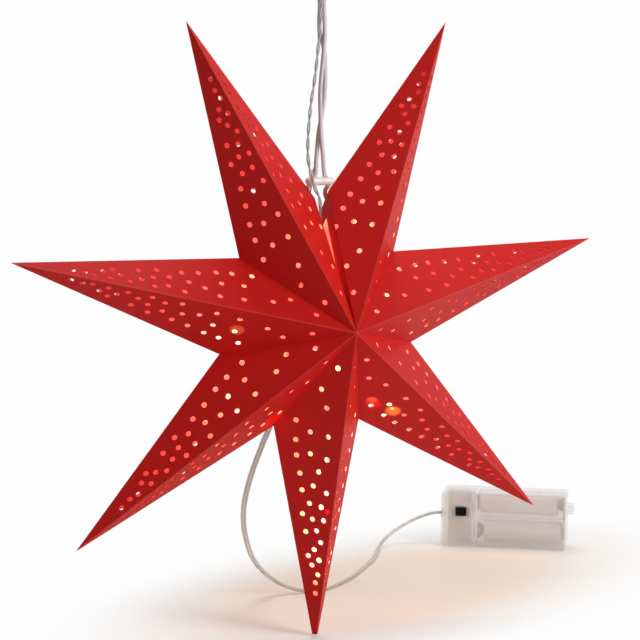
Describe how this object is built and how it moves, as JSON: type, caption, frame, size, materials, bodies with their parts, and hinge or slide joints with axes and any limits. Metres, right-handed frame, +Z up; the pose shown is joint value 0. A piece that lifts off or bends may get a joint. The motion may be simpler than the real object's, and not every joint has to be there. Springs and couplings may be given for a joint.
{
  "type": "paper star lantern",
  "caption": "Seven-ray punched red paper star lantern with a hanging cord, ten warm lamps inside and a two-cell battery box on a clear lead.",
  "frame": {"origin": "where the hanging string hangs, under its crown, above the star's centre", "axes": "+Z up, +X to the right along the star's face, +Y to the back"},
  "size_m": [0.4338, 0.2353, 0.3752],
  "materials": {
    "card": "matt",
    "string": "braided",
    "toggle": "satin",
    "clear_lead": "clear",
    "lamp": "clear",
    "sleeve": "satin",
    "milky_plastic": "milky",
    "black_plastic": "satin",
    "board": "satin",
    "cell": "satin",
    "contact_metal": "plated"
  },
  "bodies": {
    "root": {"ray_1": "card", "ray_2": "card", "ray_3": "card", "ray_4": "card", "ray_5": "card", "ray_6": "card", "ray_7": "card", "hanging_string": "string", "left_knot": "string", "right_knot": "string", "cord_toggle": "toggle", "light_wire": "clear_lead", "lamp_1": "lamp", "lamp_2": "lamp", "lamp_3": "lamp", "lamp_4": "lamp", "lamp_5": "lamp", "lamp_6": "lamp", "lamp_7": "lamp", "lamp_8": "lamp", "lamp_9": "lamp", "lamp_10": "lamp", "junction_sleeve": "sleeve", "battery_lead": "clear_lead", "lead_collar": "clear_lead", "battery_case": "milky_plastic", "switch_body": "black_plastic", "circuit_board": "board", "cell_1": "cell", "cell_2": "cell", "contact_link": "contact_metal", "contact_low": "contact_metal", "contact_high": "contact_metal", "spring_low": "contact_metal", "spring_high": "contact_metal", "lead_end": "clear_lead"},
    "cover": {"battery_cover": "milky_plastic"},
    "slider": {"switch_slider": "black_plastic"}
  },
  "joints": [
    {"name": "cover_slide", "type": "slide", "parent": "root", "child": "cover", "axis": [0.7826, -0.6225, 0], "range_m": [0, 0.058]},
    {"name": "switch_slide", "type": "slide", "parent": "root", "child": "slider", "axis": [0.7826, -0.6225, 0], "range_m": [0, 0.003]}
  ]
}
